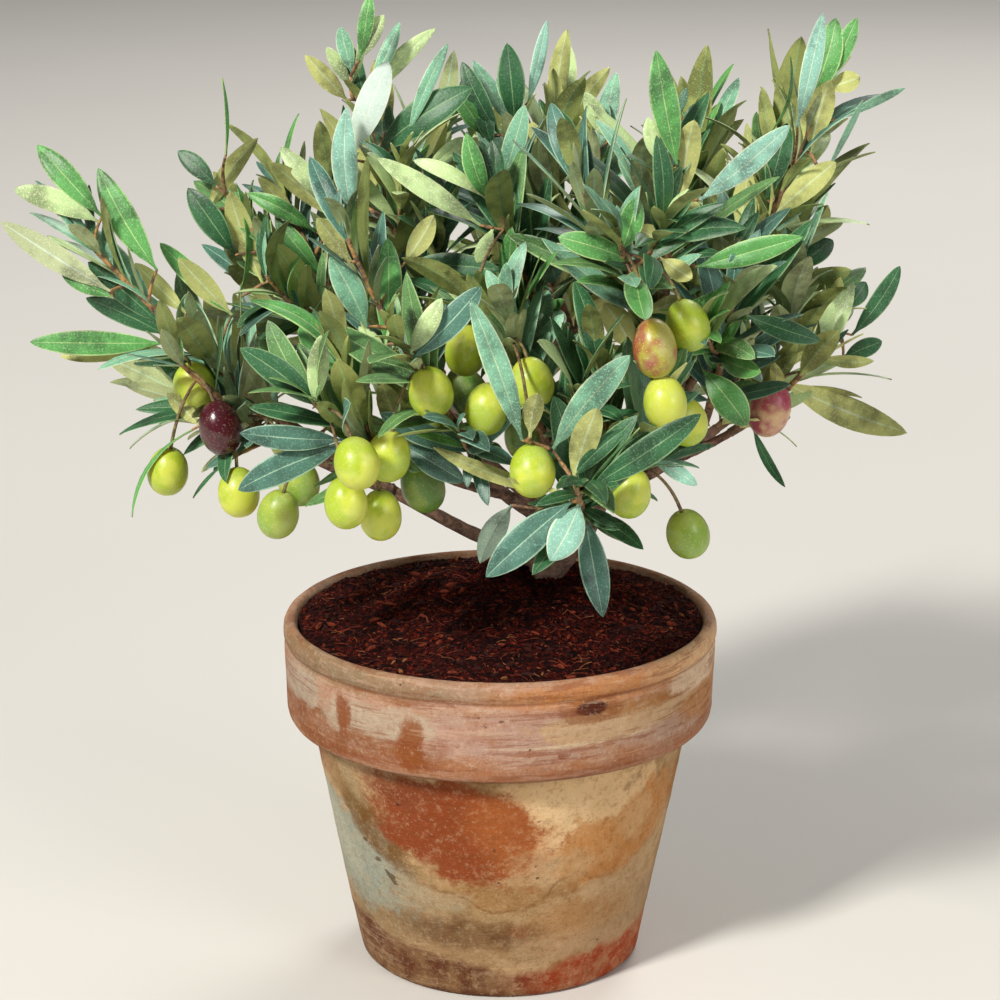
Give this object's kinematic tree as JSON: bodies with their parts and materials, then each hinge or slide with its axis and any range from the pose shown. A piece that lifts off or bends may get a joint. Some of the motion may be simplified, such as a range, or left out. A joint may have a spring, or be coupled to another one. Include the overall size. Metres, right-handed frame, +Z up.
{
  "type": "potted olive tree",
  "caption": "Small olive tree with a bushy open crown and ripening fruit, in a round tapered terracotta pot with a thick rim band",
  "frame": {"origin": "middle of the pot's flat underside", "axes": "+Z up along the pot's axis, -Y towards the pictured side, +X to the right of that side"},
  "size_m": [0.3668, 0.346, 0.3912],
  "materials": {
    "terracotta": "matt, weathered",
    "soil": "matt, fibrous",
    "bark": "matt, rough",
    "leaves": "satin"
  },
  "bodies": {
    "root": {"pot": "terracotta", "soil": "soil", "trunk": "bark", "far_left_bough": "bark", "far_left_foliage": "leaves", "left_up_bough": "bark", "left_up_foliage": "leaves", "front_left_bough": "bark", "front_left_foliage": "leaves", "back_bough": "bark", "back_foliage": "leaves", "front_bough": "bark", "front_foliage": "leaves", "right_bough": "bark", "right_foliage": "leaves", "back_right_bough": "bark", "back_right_foliage": "leaves", "tall_right_bough": "bark", "tall_right_foliage": "leaves", "leader_bough": "bark", "leader_foliage": "leaves", "low_left_bough": "bark", "low_left_foliage": "leaves", "low_back_left_bough": "bark", "low_back_left_foliage": "leaves", "back_left_bough": "bark", "back_left_foliage": "leaves", "tall_left_bough": "bark", "tall_left_foliage": "leaves", "high_back_left_bough": "bark", "high_back_left_foliage": "leaves", "left_front_bough": "bark", "left_front_foliage": "leaves", "mid_left_bough": "bark", "mid_left_foliage": "leaves", "inner_front_bough": "bark", "inner_front_foliage": "leaves", "right_front_bough": "bark", "right_front_foliage": "leaves", "low_right_bough": "bark", "low_right_foliage": "leaves", "side_right_bough": "bark", "side_right_foliage": "leaves", "crown_right_bough": "bark", "crown_right_foliage": "leaves", "high_right_bough": "bark", "high_right_foliage": "leaves", "centre_right_bough": "bark", "centre_right_foliage": "leaves", "crown_centre_bough": "bark", "crown_centre_foliage": "leaves", "crown_back_bough": "bark", "crown_back_foliage": "leaves", "high_back_bough": "bark", "high_back_foliage": "leaves", "low_back_right_bough": "bark", "low_back_right_foliage": "leaves", "high_back_right_bough": "bark", "high_back_right_foliage": "leaves"}
  },
  "joints": []
}
